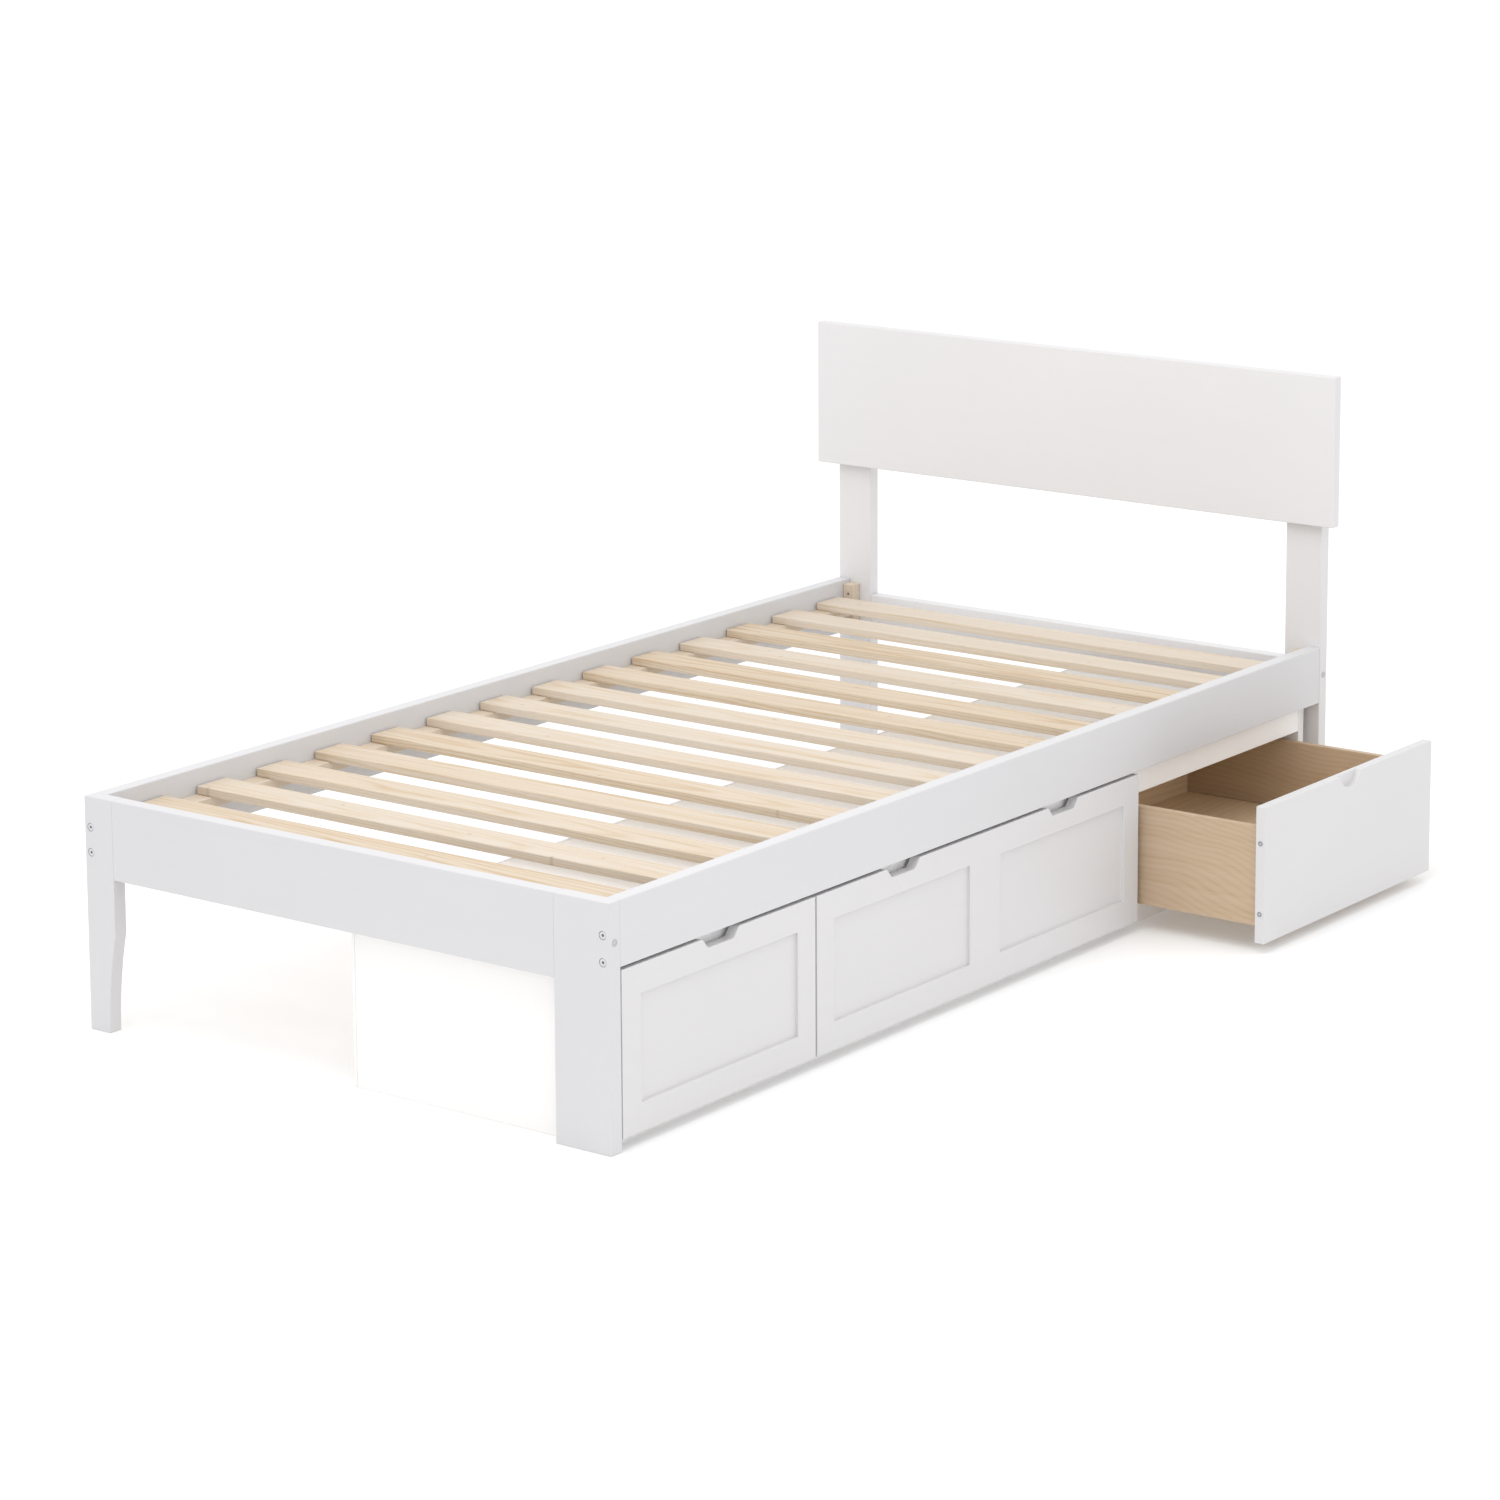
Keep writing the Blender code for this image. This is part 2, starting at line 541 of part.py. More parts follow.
def main():
    clear_scene()
    paint = finish("White painted wood", (0.78, 0.78, 0.78), 0.45)
    pine = finish("Pale pine", (0.66, 0.52, 0.35), 0.6)
    timber = finish("Drawer timber", (0.52, 0.37, 0.22), 0.6)
    ply = finish("Drawer bottom ply", (0.45, 0.30, 0.17), 0.6)
    steel = finish("Zinc plated steel", (0.62, 0.62, 0.63), 0.35, 1.0)
    bed = empty("bed", (0.0, 0.0, 0.0))
    make_headboard(bed, paint)
    legs = make_foot_end(bed, paint)
    rails = make_side_rails(bed, paint)
    make_corner_blocks(bed, pine)
    make_leg_bolts(bed, steel, legs, rails)
    make_slat_deck(bed, pine)
    make_bay(bed, paint)
    make_drawers(bed, paint, timber, ply)


main()
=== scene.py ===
"""Finishes, fasteners, stage and camera for a white-painted single bed with drawers under one side.

X runs across the bed (+X is the drawer side), Y from the foot to the head and Z up, in metres.
"""
import math

import bpy
from mathutils import Matrix, Vector


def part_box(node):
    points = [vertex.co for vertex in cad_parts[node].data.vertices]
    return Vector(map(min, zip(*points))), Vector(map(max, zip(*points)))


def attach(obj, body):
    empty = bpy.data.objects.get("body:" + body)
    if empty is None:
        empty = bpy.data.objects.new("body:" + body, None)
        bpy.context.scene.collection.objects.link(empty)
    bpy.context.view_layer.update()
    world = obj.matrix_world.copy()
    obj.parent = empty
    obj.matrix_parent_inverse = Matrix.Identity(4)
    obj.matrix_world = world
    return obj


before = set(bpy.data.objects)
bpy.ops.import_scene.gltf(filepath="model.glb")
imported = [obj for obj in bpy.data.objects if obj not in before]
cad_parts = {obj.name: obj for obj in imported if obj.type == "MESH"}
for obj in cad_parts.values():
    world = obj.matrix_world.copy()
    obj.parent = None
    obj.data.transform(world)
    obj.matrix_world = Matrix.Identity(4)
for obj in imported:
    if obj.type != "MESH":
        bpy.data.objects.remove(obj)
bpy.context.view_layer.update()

bl_info = {
    "name": "Drawer Bed Finishes",
    "version": (1, 0, 0),
    "blender": (4, 5, 0),
    "location": "3D View > Sidebar > Bed",
    "description": "Paint, timber, fasteners, stage and camera for a single bed with drawers",
    "category": "Object",
}

DRAWERS = ("foot", "middle", "head")
SLATS = [name for name in sorted(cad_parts) if name.startswith("slat_") and name[-1].isdigit()]
SLAT_PITCH = (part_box(SLATS[-1])[0][1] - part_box(SLATS[0])[0][1]) / (len(SLATS) - 1)

# Fasteners
HEAD_DEPTH = 0.004            # from a cap's or screw head's face to its back
CAP_PROUD = 0.0008            # how far a cap stands out of the wood
CAP_HEIGHTS = {"foot_leg": 0.322, "headboard_post": 0.332}      # above the floor
SCREW_PROUD = 0.0006
FRONT_SCREW_HEIGHTS = (0.070, 0.192)
# Radius of the painted shade in a bolt's socket.
BOLT_SOCKET_SHADE_RADIUS = 0.0020

# Stage: angles in radians, lens and sensor in millimetres
FLOOR_REACH = 90.0            # from the middle to an edge
LAMP_SIDE = 2.4
LAMP_PLACE = (0.4, -1.0, 2.9)
LAMP_AIM = (0.0, 1.1, 0.5)
CAMERA_PLACE = (4.5139, -6.143, 2.2541)
CAMERA_YAW = 0.6434
CAMERA_PITCH = 0.182          # looking down
CAMERA_ROLL = -0.0053
CAMERA_LENS = 112.3
SENSOR_WIDTH = 36.0
CAMERA_SHIFT = -0.2
CAMERA_REACH = 400.0

# Boards by the way their length runs
FRAME_ALONG = {
    "X": ("foot_rail",),
    "Y": ("side_rail_left", "side_rail_right"),
    "Z": ("foot_leg_left", "foot_leg_right"),
}
HEADBOARD_ALONG = {
    "X": ("headboard_panel", "headboard_cross_rail"),
    "Z": ("headboard_post_left", "headboard_post_right"),
}
BAY_INSIDE = {
    "X": ("bay_partition_foot", "bay_partition_head", "bay_bearer_foot", "bay_bearer_foot_middle",
          "bay_bearer_middle_head", "bay_bearer_head"),
    "Y": ("bay_apron", "bay_base_rail", "bay_top_panel"),
}
BAY_OUTSIDE = {
    "X": ("bay_end_panel_foot", "bay_end_panel_head"),
    "Y": ("bay_back_panel",),
}


# Shader maths

class Signal:
    """One output of a finish's node tree, for Python's operators to work on."""

    def __init__(self, finish, socket):
        self.finish = finish
        self.socket = socket

    def __add__(self, other):
        return self.finish.maths("ADD", self, other)

    def __sub__(self, other):
        return self.finish.maths("SUBTRACT", self, other)

    def __rsub__(self, other):
        return self.finish.maths("SUBTRACT", other, self)

    def __mul__(self, other):
        return self.finish.maths("MULTIPLY", self, other)

    def __truediv__(self, other):
        return self.finish.maths("DIVIDE", self, other)

    def __pow__(self, other):
        return self.finish.maths("POWER", self, other)

    __radd__ = __add__
    __rmul__ = __mul__


class Finish:
    """A material with one Principled shader, and short ways to feed it."""

    def __init__(self, name):
        self.material = bpy.data.materials.new(name)
        self.material.use_nodes = True
        self.tree = self.material.node_tree
        self.shader = self.tree.nodes["Principled BSDF"]

    def feed(self, socket, value):
        if isinstance(value, Signal):
            self.tree.links.new(value.socket, socket)
        else:
            socket.default_value = value

    def node(self, kind, settings=None, inputs=None, output=0):
        """Adds a node, sets it up, feeds it, and returns one of its outputs."""
        made = self.tree.nodes.new(kind)
        for name, value in (settings or {}).items():
            if name == "stops":
                self.set_stops(made.color_ramp, value)
            else:
                setattr(made, name, value)
        for key, value in (inputs or {}).items():
            self.feed(made.inputs[key], value)
        return Signal(self, made.outputs[output])

    def set_stops(self, ramp, stops):
        while len(ramp.elements) < len(stops):
            ramp.elements.new(0.5)
        for element, (position, colour) in zip(ramp.elements, stops):
            element.position = position
            element.color = (*colour, 1.0)

    def maths(self, operation, *values):
        return self.node("ShaderNodeMath", {"operation": operation}, dict(enumerate(values)))

    def clamp(self, value, low=0.0, high=1.0):
        return self.node("ShaderNodeClamp", None, {"Value": value, "Min": low, "Max": high})

    def sine(self, value):
        return self.maths("SINE", value)

    def axes(self):
        """X, Y and Z of the point on the bed."""
        place = self.node("ShaderNodeTexCoord", output=3)
        split = self.node("ShaderNodeSeparateXYZ", None, {0: place})
        return [Signal(self, socket) for socket in split.socket.node.outputs]

    def combine(self, x, y, z):
        return self.node("ShaderNodeCombineXYZ", None, {0: x, 1: y, 2: z})

    def noise(self, point, scale=1.0, detail=2.0, roughness=0.5):
        return self.node("ShaderNodeTexNoise", {"noise_dimensions": "3D"},
                         {"Vector": point, "Scale": scale, "Detail": detail, "Roughness": roughness})

    def mix(self, factor, first, second):
        return self.node("ShaderNodeMix", {"data_type": "RGBA"}, {0: factor, 6: first, 7: second}, 2)

    def bump(self, height, distance, strength=1.0):
        relief = self.node("ShaderNodeBump", None,
                           {"Height": height, "Distance": distance, "Strength": strength})
        self.feed(self.shader.inputs["Normal"], relief)

    def set(self, **values):
        """Feeds the shader's sockets, named with underscores."""
        for name, value in values.items():
            self.feed(self.shader.inputs[name.replace("_", " ")], value)


def along_first(axes, along):
    """The three axes turned so that the board's length comes first."""
    start = "XYZ".index(along)
    return axes[start], axes[(start + 1) % 3], axes[(start + 2) % 3]


def painted_wood(name, along, colour, sheen=0.42):
    """Satin paint on planed board: brush drag along its length, faint grain through it, uneven sheen."""
    finish = Finish(name)
    length, width, depth = along_first(finish.axes(), along)
    cloud = finish.noise(finish.combine(length, width, depth), 3.2, 3.0)
    drag = finish.noise(finish.combine(length * 7, width * 420, depth * 420), 1.0, 3.0, 0.6)
    grain = finish.noise(finish.combine(length * 2.5, width * 70, depth * 70), 1.0, 2.0)
    stipple = finish.noise(finish.combine(length, width, depth), 950.0, 1.0)
    shade = finish.clamp(0.5 + (cloud - 0.5) * 1.4 + (grain - 0.5) * 0.5 + (drag - 0.5) * 0.2)
    darker = tuple(c * 0.965 for c in colour)
    finish.set(Base_Color=finish.mix(shade, (*darker, 1.0), (*colour, 1.0)),
               Roughness=finish.clamp(sheen + (cloud - 0.5) * 0.16 + (drag - 0.5) * 0.10, 0.2, 0.8))
    finish.bump(drag * 0.5 + grain * 0.5 + stipple * 0.35, 0.00012, 0.6)
    return finish.material


def bare_wood(name, along, pale, mid, dark, row=None, fold=None, ring=0.007, heart=0.045, tilt=0.02,
              warp=(1.3, 0.030), roughness=0.55, contrast=1.0, knots=0.0):
    """Planed timber: rings cut lengthwise, long fibres, fine pores, and its own tone for each board.

    row is (axis, pitch, start) where a row of like boards share the finish. fold keeps the heart of the
    log near boards that stand apart. warp is how often the rings wander in a metre of length, and how far.
    knots is how many there are in a metre.
    """
    finish = Finish(name)
    axes = finish.axes()
    length, width, depth = along_first(axes, along)
    turn = 0.37
    tone = 0.5
    local = width
    if row:
        across = axes["XYZ".index(row[0])] - row[2]
        number = finish.maths("FLOOR", across / row[1])
        turn = finish.node("ShaderNodeTexWhiteNoise", {"noise_dimensions": "1D"}, {"W": number + 0.5})
        tone = finish.node("ShaderNodeTexWhiteNoise", {"noise_dimensions": "1D"}, {"W": number + 7.5})
        local = across - (number + 0.5) * row[1]
    elif fold:
        local = finish.maths("PINGPONG", width + fold / 3, fold)
    wander = finish.noise(finish.combine(length * warp[0], width * 5 + turn * 9.0, depth * 5), 1.0, 2.0) - 0.5
    ripple = finish.noise(finish.combine(length * 9, width * 34 + turn * 5.0, depth * 34), 1.0, 2.0) - 0.5
    aside = local + (turn - 0.5) * 0.06
    below = depth - heart + (length + turn * 3.0) * tilt
    radius = (aside * aside + below * below) ** 0.5 + wander * warp[1] + ripple * 0.0016
    rings = 0.5 + 0.5 * finish.sine(radius * (2 * math.pi / ring))
    late = rings ** 2.2
    fibre = finish.noise(finish.combine(length * 11, width * 780, depth * 780), 1.0, 3.0, 0.65)
    streak = finish.noise(finish.combine(length * 1.4 + turn * 11.0, width * 75, depth * 75), 1.0, 3.0, 0.55)
    pit = finish.noise(finish.combine(length * 38, width * 1500, depth * 1500), 1.0, 1.0)
    pore = finish.clamp((pit - 0.63) * 6)
    figure = finish.clamp(0.20 + (late * 0.30 + (fibre - 0.5) * 0.34 + (streak - 0.5) * 0.95
                                  + (tone - 0.5) * 0.30) * contrast)
    base = finish.node("ShaderNodeValToRGB", {"stops": ((0.0, pale), (0.5, mid), (1.0, dark))}, {0: figure})
    brown = (*(c * 0.62 for c in dark), 1.0)
    wood = finish.mix(pore * (0.30 * contrast), base, brown)
    if knots:
        apart = finish.node("ShaderNodeTexVoronoi", {"voronoi_dimensions": "2D"},
                            {"Vector": finish.combine(length, width, 0.0), "Scale": knots})
        wood = finish.mix(finish.clamp((0.0055 * knots - apart) * (150.0 / knots)) * 0.6, wood, brown)
    finish.set(Base_Color=wood,
               Roughness=finish.clamp(roughness + (fibre - 0.5) * 0.22 - late * 0.07, 0.25, 0.9))
    finish.bump(fibre * 0.6 + late * 0.35 - pore * 0.5, 0.00022, 0.55)
    return finish.material


def turned_metal(name, colour, roughness, metallic):
    """Zinc-plated or painted steel with fine scratches."""
    finish = Finish(name)
    x, y, z = finish.axes()
    scratch = finish.noise(finish.combine(x * 900, y * 900, z * 4200), 1.0, 2.0)
    cloud = finish.noise(finish.combine(x, y, z), 160.0, 2.0)
    darker = tuple(c * 0.86 for c in colour)
    finish.set(Base_Color=finish.mix(cloud, (*darker, 1.0), (*colour, 1.0)), Metallic=metallic,
               Roughness=finish.clamp(roughness + (cloud - 0.5) * 0.22 + (scratch - 0.5) * 0.14, 0.12, 0.9))
    finish.bump(scratch * 0.6 + cloud * 0.4, 0.00005, 0.5)
    return finish.material


def bolt_metal(name, colour, boxes, head, socket):
    """Plated steel for bolts along Y, with painted shade in the socket and a painted shadow line round the
    head.
    """
    finish = Finish(name)
    x, y, z = finish.axes()
    near = None
    for low, high in boxes:
        across = x - (low[0] + high[0]) / 2
        up = z - (low[2] + high[2]) / 2
        reach = (across * across + up * up) ** 0.5
        near = reach if near is None else finish.maths("MINIMUM", near, reach)
    # Near black inside the socket radius: painted shade in the socket.
    socket_painted_shade = finish.clamp((near - socket) / 0.0002)
    # Half as bright in a thin band at the head's edge: a painted shadow line round the head.
    outer = finish.clamp((near - head * 0.86) / (head * 0.06))
    scratch = finish.noise(finish.combine(x * 900, y * 900, z * 4200), 1.0, 2.0)
    cloud = finish.noise(finish.combine(x, y, z), 160.0, 2.0)
    plate = finish.mix(cloud, (*(c * 0.9 for c in colour), 1.0), (*colour, 1.0))
    plate_with_painted_rim_shadow = finish.mix(outer, plate, (*(c * 0.5 for c in colour), 1.0))
    finish.set(Base_Color=finish.mix(socket_painted_shade, (0.12, 0.12, 0.13, 1.0), plate_with_painted_rim_shadow), Metallic=0.35,
               Roughness=finish.clamp(0.40 + (cloud - 0.5) * 0.22 + (scratch - 0.5) * 0.14, 0.12, 0.9))
    finish.bump(scratch * 0.6 + cloud * 0.4, 0.00005, 0.5)
    return finish.material


def dress(names, material):
    """Gives CAD nodes a finish."""
    for name in names:
        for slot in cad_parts[name].material_slots:
            slot.material = material


# Fasteners

def add_input(tree, name, kind, default=None):
    """Adds an input to a node group and returns the key that a modifier knows it by."""
    socket = tree.interface.new_socket(name, in_out="INPUT", socket_type=kind)
    if default is not None:
        socket.default_value = default
    return socket.identifier


def fastener_tree():
    """Geometry Nodes: a flat round head with a socket in it, on each point, looking along its facing."""
    tree = bpy.data.node_groups.new("Fastener heads", "GeometryNodeTree")
    tree.interface.new_socket("Geometry", in_out="INPUT", socket_type="NodeSocketGeometry")
    tree.interface.new_socket("Geometry", in_out="OUTPUT", socket_type="NodeSocketGeometry")
    keys = {
        "radius": add_input(tree, "Head Radius", "NodeSocketFloat", 0.005),
        "depth": add_input(tree, "Head Depth", "NodeSocketFloat", 0.004),
        "share": add_input(tree, "Socket Share", "NodeSocketFloat", 0.4),
        "socket": add_input(tree, "Socket Depth", "NodeSocketFloat", 0.002),
        "head": add_input(tree, "Head Finish", "NodeSocketMaterial"),
        "inside": add_input(tree, "Socket Finish", "NodeSocketMaterial"),
    }
    nodes, link = tree.nodes, tree.links.new
    given = nodes.new("NodeGroupInput")
    made = nodes.new("NodeGroupOutput")

    def add(kind, settings=None, inputs=None):
        node = nodes.new(kind)
        for name, value in (settings or {}).items():
            setattr(node, name, value)
        for key, value in (inputs or {}).items():
            if isinstance(value, bpy.types.NodeSocket):
                link(value, node.inputs[key])
            else:
                node.inputs[key].default_value = value
        return node

    disc = add("GeometryNodeMeshCylinder", {"fill_type": "NGON"},
               {"Vertices": 36, "Radius": given.outputs["Head Radius"], "Depth": given.outputs["Head Depth"]})
    rim = add("GeometryNodeExtrudeMesh", {"mode": "FACES"},
              {"Mesh": disc.outputs["Mesh"], "Selection": disc.outputs["Top"], "Offset Scale": 0.0})
    narrow = add("GeometryNodeScaleElements", {"domain": "FACE"},
                 {"Geometry": rim.outputs["Mesh"], "Selection": rim.outputs["Top"],
                  "Scale": given.outputs["Socket Share"]})
    down = add("ShaderNodeMath", {"operation": "MULTIPLY"}, {0: given.outputs["Socket Depth"], 1: -1.0})
    hole = add("GeometryNodeExtrudeMesh", {"mode": "FACES"},
               {"Mesh": narrow.outputs["Geometry"], "Selection": rim.outputs["Top"],
                "Offset Scale": down.outputs["Value"]})
    plated = add("GeometryNodeSetMaterial", None,
                 {"Geometry": hole.outputs["Mesh"], "Material": given.outputs["Head Finish"]})
    sunk = add("GeometryNodeSetMaterial", None,
               {"Geometry": plated.outputs["Geometry"], "Selection": hole.outputs["Top"],
                "Material": given.outputs["Socket Finish"]})
    facing = add("GeometryNodeInputNamedAttribute", {"data_type": "FLOAT_VECTOR"}, {"Name": "facing"})
    turned = add("FunctionNodeAlignRotationToVector", {"axis": "Z"}, {"Vector": facing.outputs["Attribute"]})
    placed = add("GeometryNodeInstanceOnPoints", None,
                 {"Points": given.outputs["Geometry"], "Instance": sunk.outputs["Geometry"],
                  "Rotation": turned.outputs["Rotation"]})
    real = add("GeometryNodeRealizeInstances", None, {"Geometry": placed.outputs["Instances"]})
    link(real.outputs["Geometry"], made.inputs["Geometry"])
    return tree, keys


def fasteners(name, places, body, values):
    """One plain mesh of fastener heads. places are (centre of the head, way it faces)."""
    tree, keys = fastener_tree()
    points = bpy.data.meshes.new(name)
    points.from_pydata([tuple(place) for place, _ in places], [], [])
    facing = points.attributes.new("facing", "FLOAT_VECTOR", "POINT")
    for item, (_, way) in zip(facing.data, places):
        item.vector = way
    maker = bpy.data.objects.new(name + "_points", points)
    bpy.context.collection.objects.link(maker)
    modifier = maker.modifiers.new("Heads", "NODES")
    modifier.node_group = tree
    for key, value in values.items():
        modifier[keys[key]] = value
    bpy.context.view_layer.update()
    seen = maker.evaluated_get(bpy.context.evaluated_depsgraph_get())
    mesh = bpy.data.meshes.new_from_object(seen)
    mesh.name = name
    part = bpy.data.objects.new(name, mesh)
    bpy.context.collection.objects.link(part)
    bpy.data.objects.remove(maker)
    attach(part, body)


# Sizes and colours that a user would change

class BedFinish(bpy.types.PropertyGroup):
    """Colours of the finishes, sizes of the added fasteners, and the strength of the light"""
    # Frame and headboard paint are copies of the bed's one white paint at two brightnesses: the frame's
    # darker copy is painted shade on the foot end and side rails, and the headboard's lighter copy is painted
    # light.
    frame_paint: bpy.props.FloatVectorProperty(
        name="Frame Paint With Painted Shade", description="Paint of the foot end and side rails", subtype="COLOR",
        default=(0.637, 0.634, 0.647), min=0.0, max=1.0)
    headboard_paint_with_painted_light: bpy.props.FloatVectorProperty(
        name="Headboard Paint With Painted Light", description="Paint of the headboard, its posts and cross rail",
        subtype="COLOR", default=(0.690, 0.682, 0.690), min=0.0, max=1.0)
    # The fronts' copy of the white paint is a little darker than the headboard's: painted shade.
    front_paint: bpy.props.FloatVectorProperty(
        name="Front Paint With Painted Shade", description="Paint of the drawer fronts", subtype="COLOR",
        default=(0.664, 0.654, 0.661), min=0.0, max=1.0)
    # The bay's copies of the white paint are much lighter than the frame's: painted light on the shaded
    # apron, top panel and inside, and on the ends and back under the bed.
    bay_paint: bpy.props.FloatVectorProperty(
        name="Bay Paint With Painted Light", description="Paint of the drawer bay's apron, top and inside", subtype="COLOR",
        default=(0.97, 0.965, 0.96), min=0.0, max=1.0)
    bay_panel_paint_with_painted_light: bpy.props.FloatVectorProperty(
        name="Bay Panel Paint With Painted Light", description="Paint of the drawer bay's ends and back", subtype="COLOR",
        default=(0.90, 0.89, 0.88), min=0.0, max=1.0)
    pine: bpy.props.FloatVectorProperty(
        name="Pine", description="Palest tone of the slats and ledges", subtype="COLOR",
        default=(0.640, 0.560, 0.470), min=0.0, max=1.0)
    timber: bpy.props.FloatVectorProperty(
        name="Drawer Timber", description="Palest tone of the drawers' sides", subtype="COLOR",
        default=(0.545, 0.415, 0.290), min=0.0, max=1.0)
    ply: bpy.props.FloatVectorProperty(
        name="Drawer Ply", description="Palest tone of the drawers' bottoms and backs", subtype="COLOR",
        default=(0.86, 0.68, 0.48), min=0.0, max=1.0)
    steel: bpy.props.FloatVectorProperty(
        name="Bolt Steel", description="Plating of the bolts", subtype="COLOR",
        default=(0.66, 0.66, 0.68), min=0.0, max=1.0)
    floor: bpy.props.FloatVectorProperty(
        name="Floor", description="Colour of the studio floor", subtype="COLOR",
        default=(0.85, 0.85, 0.85), min=0.0, max=1.0)
    floor_glow: bpy.props.FloatProperty(
        name="Floor Glow", description="Light that the lit floor gives off by itself", default=0.16, min=0.0)
    cap_radius: bpy.props.FloatProperty(
        name="Cap Radius", description="Radius of the cover caps on the legs' and posts' outer sides",
        default=0.0055, subtype="DISTANCE", unit="LENGTH")
    screw_radius: bpy.props.FloatProperty(
        name="Screw Radius", description="Radius of the screw heads in the drawer front's edges",
        default=0.0042, subtype="DISTANCE", unit="LENGTH")
    sky: bpy.props.FloatProperty(
        name="Sky", description="Brightness of the white surroundings", default=1.09, min=0.0)
    key: bpy.props.FloatProperty(
        name="Key Light", description="Power of the soft overhead light", default=31.0,
        subtype="POWER", unit="POWER")


class BED_OT_frame(bpy.types.Operator):
    """Paint the headboard, rails and legs"""
    bl_idname = "bed.paint_frame"
    bl_label = "Paint Frame"

    def execute(self, context):
        paints = context.scene.bed_finish
        # The two colours here are painted shade (frame) and painted light (headboard) on one white paint.
        for label, colour, boards in (("Frame", paints.frame_paint, FRAME_ALONG),
                                      ("Headboard", paints.headboard_paint_with_painted_light, HEADBOARD_ALONG)):
            for along, names in boards.items():
                dress(names, painted_wood(f"{label} paint {along}", along, tuple(colour)))
        return {"FINISHED"}


class BED_OT_deck(bpy.types.Operator):
    """Plane the slats, ledges and corner blocks from pine"""
    bl_idname = "bed.finish_deck"
    bl_label = "Finish Slat Deck"

    def execute(self, context):
        pale = tuple(context.scene.bed_finish.pine)
        mid = tuple(c * f for c, f in zip(pale, (0.95, 0.89, 0.79)))
        dark = tuple(c * f for c, f in zip(pale, (0.80, 0.66, 0.48)))
        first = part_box(SLATS[0])[0][1] - SLAT_PITCH * 0.2
        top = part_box(SLATS[0])[1][2]
        dress(SLATS, bare_wood("Slat pine", "X", pale, mid, dark, row=("Y", SLAT_PITCH, first), ring=0.0045,
                               heart=top - 0.050, tilt=0.012, roughness=0.6, contrast=1.5, knots=5.0))
        dress(("slat_ledge_left", "slat_ledge_right"), bare_wood("Ledge pine", "Y", pale, mid, dark))
        dress(("corner_block_left", "corner_block_right"), bare_wood("Block pine", "Z", pale, mid, dark))
        return {"FINISHED"}


class BED_OT_bay(bpy.types.Operator):
    """Paint the drawer bay"""
    bl_idname = "bed.paint_bay"
    bl_label = "Paint Drawer Bay"

    def execute(self, context):
        paints = context.scene.bed_finish
        # Both bay colours are the white paint lightened: painted light in the shade under the bed.
        for label, colour, boards in (("Bay", paints.bay_paint, BAY_INSIDE),
                                      ("Bay Panel", paints.bay_panel_paint_with_painted_light, BAY_OUTSIDE)):
            for along, names in boards.items():
                dress(names, painted_wood(f"{label} paint {along}", along, tuple(colour), 0.5))
        return {"FINISHED"}


class BED_OT_drawers(bpy.types.Operator):
    """Paint the drawer fronts and finish the boxes behind them"""
    bl_idname = "bed.finish_drawers"
    bl_label = "Finish Drawers"

    def execute(self, context):
        tones = context.scene.bed_finish
        shades = {}
        for part, pale in (("sides", tuple(tones.timber)), ("ply", tuple(tones.ply))):
            shades[part] = (pale, tuple(c * f for c, f in zip(pale, (0.90, 0.86, 0.80))),
                            tuple(c * f for c, f in zip(pale, (0.72, 0.62, 0.52))))
        # The front paint is the bed's white paint darkened: painted shade.
        dress([f"drawer_{d}_front" for d in DRAWERS],
              painted_wood("Front paint with painted shade", "Y", tuple(tones.front_paint)))
        sides = [f"drawer_{d}_side_{end}" for d in DRAWERS for end in ("foot", "head")]
        dress(sides, bare_wood("Drawer side timber", "X", *shades["sides"], fold=0.05, ring=0.010,
                               heart=0.150, tilt=0.10, warp=(3.4, 0.085), roughness=0.5, contrast=0.9))
        dress([f"drawer_{d}_back" for d in DRAWERS], bare_wood("Drawer back timber", "Y", *shades["ply"]))
        dress([f"drawer_{d}_bottom" for d in DRAWERS],
              bare_wood("Drawer bottom ply", "Y", *shades["ply"], ring=0.015, tilt=0.05, roughness=0.5))
        return {"FINISHED"}


class BED_OT_bolts(bpy.types.Operator):
    """Plate the leg bolts"""
    bl_idname = "bed.plate_bolts"
    bl_label = "Plate Leg Bolts"

    def execute(self, context):
        names = [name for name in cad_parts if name.startswith("leg_bolt_")]
        boxes = [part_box(name) for name in names]
        head = (boxes[0][1][0] - boxes[0][0][0]) / 2
        colour = tuple(context.scene.bed_finish.steel)
        dress(names, bolt_metal("Bolt steel with painted shade", colour, boxes, head, BOLT_SOCKET_SHADE_RADIUS))
        return {"FINISHED"}


class BED_OT_caps(bpy.types.Operator):
    """Put cover caps on the outer sides of the foot legs and head posts"""
    bl_idname = "bed.add_caps"
    bl_label = "Add Side Caps"

    def execute(self, context):
        sizes = context.scene.bed_finish
        places = []
        for upright, height in CAP_HEIGHTS.items():
            for end, side in (("right", 1.0), ("left", -1.0)):
                name = f"{upright}_{end}"
                low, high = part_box(name)
                outer = high[0] if side > 0 else low[0]
                centre = outer + side * (CAP_PROUD - HEAD_DEPTH / 2)
                places.append(((centre, (low[1] + high[1]) / 2, height), (side, 0.0, 0.0)))
        cap = painted_wood("Cap enamel", "Z", (0.47, 0.47, 0.48), 0.35)
        fasteners("side_caps", places, "frame",
                  {"radius": sizes.cap_radius, "depth": HEAD_DEPTH, "share": 0.55, "socket": 0.0006,
                   "head": cap, "inside": painted_wood("Cap centre", "Z", (0.56, 0.56, 0.57), 0.4)})
        return {"FINISHED"}


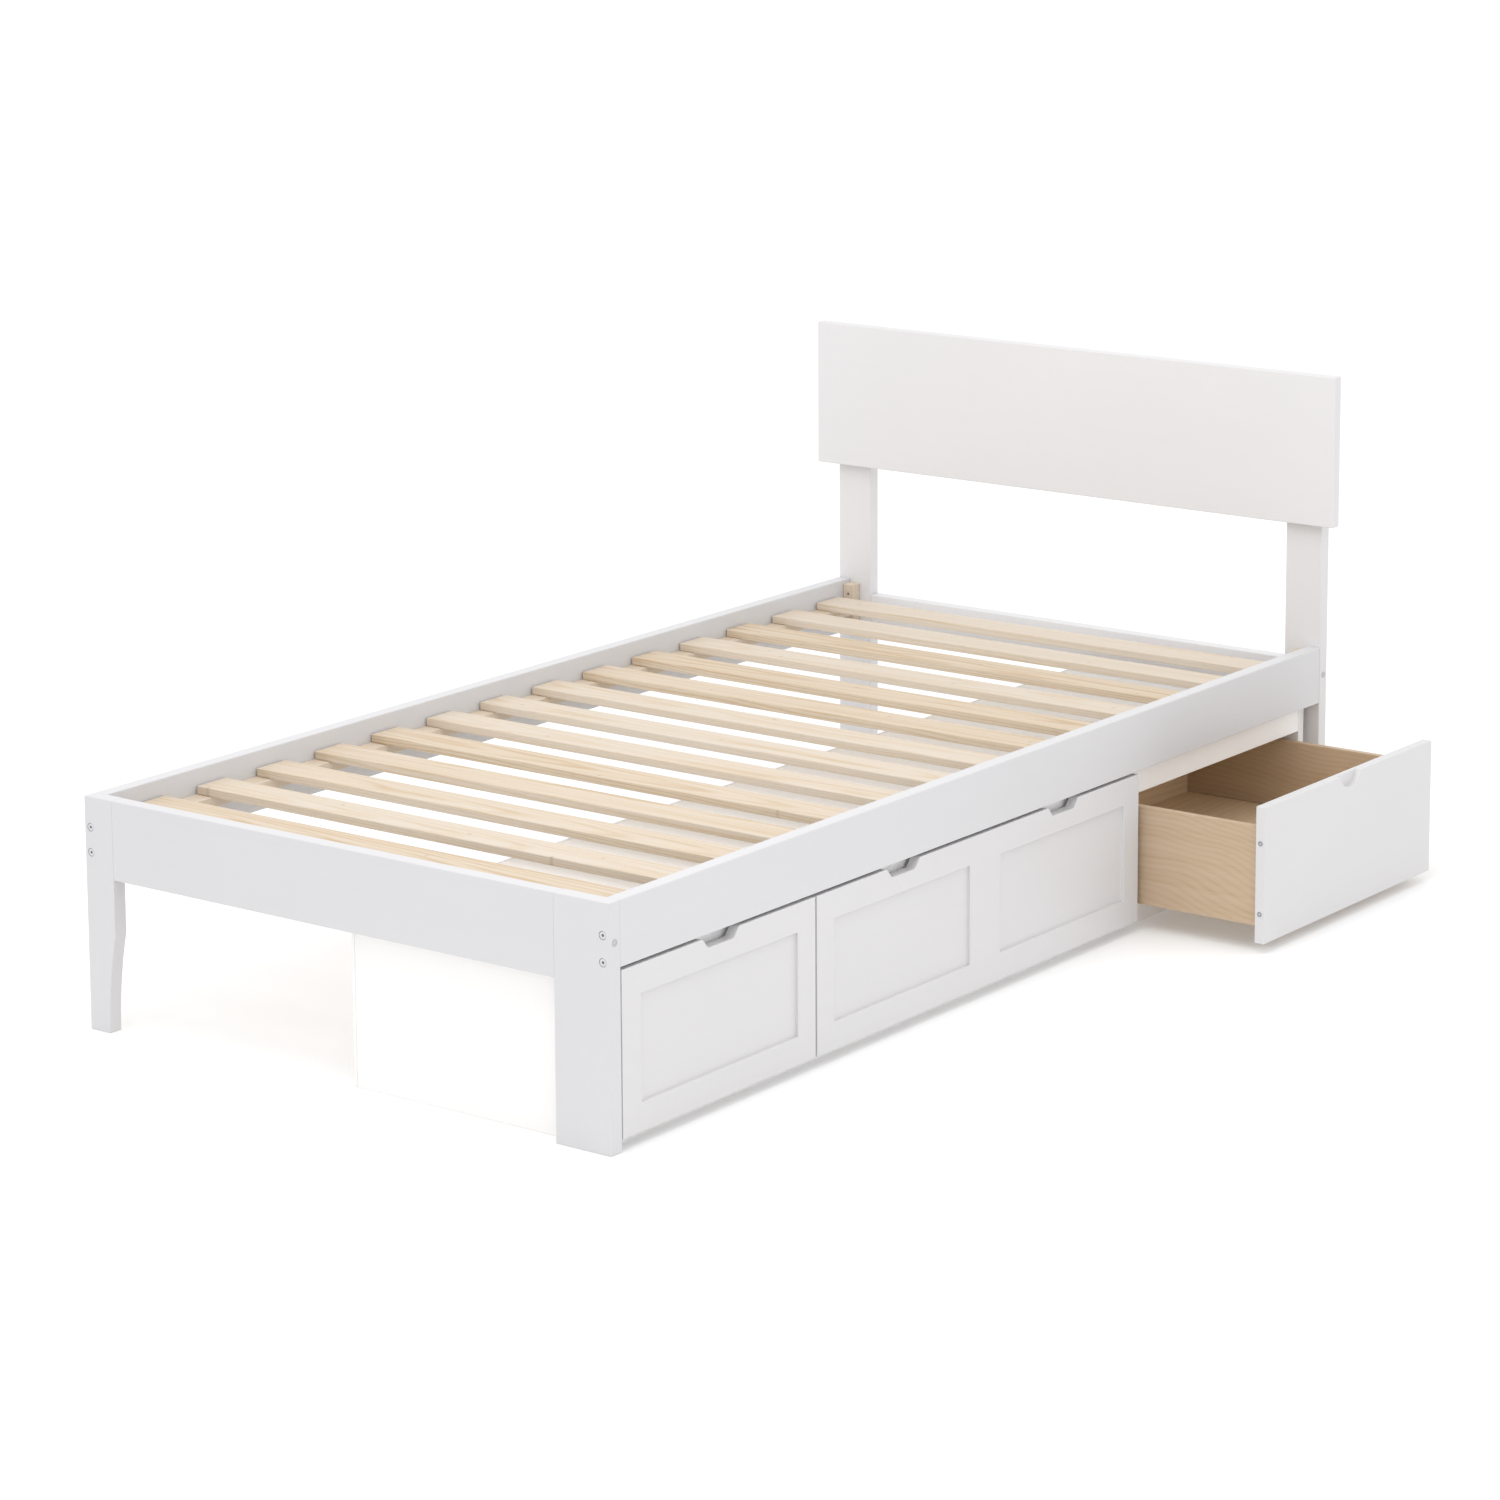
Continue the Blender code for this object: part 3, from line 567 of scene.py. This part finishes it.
class BED_OT_screws(bpy.types.Operator):
    """Put the screws in the two edges of the head drawer's front"""
    bl_idname = "bed.add_front_screws"
    bl_label = "Add Front Screws"

    def execute(self, context):
        sizes = context.scene.bed_finish
        low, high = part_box("drawer_head_front")
        middle = (low[0] + high[0]) / 2
        places = []
        for height in FRONT_SCREW_HEIGHTS:
            places.append(((middle, low[1] + HEAD_DEPTH / 2 - SCREW_PROUD, height), (0.0, -1.0, 0.0)))
            places.append(((middle, high[1] - HEAD_DEPTH / 2 + SCREW_PROUD, height), (0.0, 1.0, 0.0)))
        fasteners("front_edge_screws", places, "drawer_head",
                  {"radius": sizes.screw_radius, "depth": HEAD_DEPTH, "share": 0.45, "socket": 0.0016,
                   "head": turned_metal("Screw steel", (0.34, 0.35, 0.38), 0.42, 0.6),
                   # The socket finish is near black: painted shade on the floor of the socket.
                   "inside": turned_metal("Screw socket painted shade", (0.06, 0.06, 0.07), 0.6, 0.3)})
        return {"FINISHED"}


class BED_OT_stage(bpy.types.Operator):
    """Set the floor, the light and the camera"""
    bl_idname = "bed.set_stage"
    bl_label = "Set Stage"

    def execute(self, context):
        settings = context.scene.bed_finish
        self.add_floor(settings)
        self.add_light(context, settings)
        self.add_camera(context)
        context.scene.view_settings.view_transform = "Standard"
        return {"FINISHED"}

    def add_floor(self, settings):
        mesh = bpy.data.meshes.new("studio_floor")
        turns = ((-1, -1), (1, -1), (1, 1), (-1, 1))
        mesh.from_pydata([(x * FLOOR_REACH, y * FLOOR_REACH, 0.0) for x, y in turns], [], [(0, 1, 2, 3)])
        floor = bpy.data.objects.new("studio_floor", mesh)
        bpy.context.collection.objects.link(floor)
        finish = Finish("Studio floor")
        x, y, z = finish.axes()
        cloud = finish.noise(finish.combine(x, y, z), 0.8, 3.0)
        colour = tuple(settings.floor)
        darker = tuple(c * 0.995 for c in colour)
        finish.set(Base_Color=finish.mix(cloud, (*darker, 1.0), (*colour, 1.0)), Roughness=0.9,
                   Specular_IOR_Level=0.1, Emission_Color=(1.0, 1.0, 1.0, 1.0),
                   Emission_Strength=settings.floor_glow)
        mesh.materials.append(finish.material)

    def add_light(self, context, settings):
        world = bpy.data.worlds.new("Studio surroundings")
        context.scene.world = world
        world.use_nodes = True
        sky = world.node_tree.nodes["Background"]
        sky.inputs["Color"].default_value = (1.0, 1.0, 1.0, 1.0)
        sky.inputs["Strength"].default_value = settings.sky
        lamp = bpy.data.lights.new("Soft overhead", "AREA")
        lamp.energy = settings.key
        lamp.shape = "RECTANGLE"
        lamp.size = LAMP_SIDE
        lamp.size_y = LAMP_SIDE
        light = bpy.data.objects.new("Soft overhead", lamp)
        light.location = LAMP_PLACE
        light.rotation_euler = (Vector(LAMP_AIM) - light.location).to_track_quat("-Z", "Y").to_euler()
        bpy.context.collection.objects.link(light)

    def add_camera(self, context):
        yaw, pitch, roll = CAMERA_YAW, CAMERA_PITCH, CAMERA_ROLL
        flat = math.cos(pitch)
        forward = Vector((-math.sin(yaw) * flat, math.cos(yaw) * flat, -math.sin(pitch)))
        level = Vector((math.cos(yaw), math.sin(yaw), 0.0))
        raised = level.cross(forward)
        right = level * math.cos(roll) + raised * math.sin(roll)
        up = raised * math.cos(roll) - level * math.sin(roll)
        turn = Matrix((right, up, -forward)).transposed().to_4x4()
        data = bpy.data.cameras.new("Camera")
        data.lens = CAMERA_LENS
        data.sensor_width = SENSOR_WIDTH
        data.shift_y = CAMERA_SHIFT
        data.clip_end = CAMERA_REACH
        camera = bpy.data.objects.new("Camera", data)
        camera.matrix_world = Matrix.Translation(CAMERA_PLACE) @ turn
        bpy.context.collection.objects.link(camera)
        context.scene.camera = camera


OPERATORS = (BED_OT_stage, BED_OT_frame, BED_OT_deck, BED_OT_bay, BED_OT_drawers, BED_OT_bolts, BED_OT_caps,
             BED_OT_screws)


class BED_PT_panel(bpy.types.Panel):
    """Lists what the add-on makes, with its sizes and colours"""
    bl_idname = "BED_PT_panel"
    bl_label = "Drawer Bed"
    bl_space_type = "VIEW_3D"
    bl_region_type = "UI"
    bl_category = "Bed"

    def draw(self, context):
        for operator in OPERATORS:
            self.layout.operator(operator.bl_idname)
        for name in BedFinish.__annotations__:
            self.layout.prop(context.scene.bed_finish, name)


def register():
    for item in (BedFinish, *OPERATORS, BED_PT_panel):
        bpy.utils.register_class(item)
    bpy.types.Scene.bed_finish = bpy.props.PointerProperty(type=BedFinish)


def unregister():
    del bpy.types.Scene.bed_finish
    for item in reversed((BedFinish, *OPERATORS, BED_PT_panel)):
        bpy.utils.unregister_class(item)


def main():
    register()
    bpy.ops.bed.set_stage()
    bpy.ops.bed.paint_frame()
    bpy.ops.bed.finish_deck()
    bpy.ops.bed.paint_bay()
    bpy.ops.bed.finish_drawers()
    bpy.ops.bed.plate_bolts()
    bpy.ops.bed.add_caps()
    bpy.ops.bed.add_front_screws()


if __name__ == "__main__":
    main()
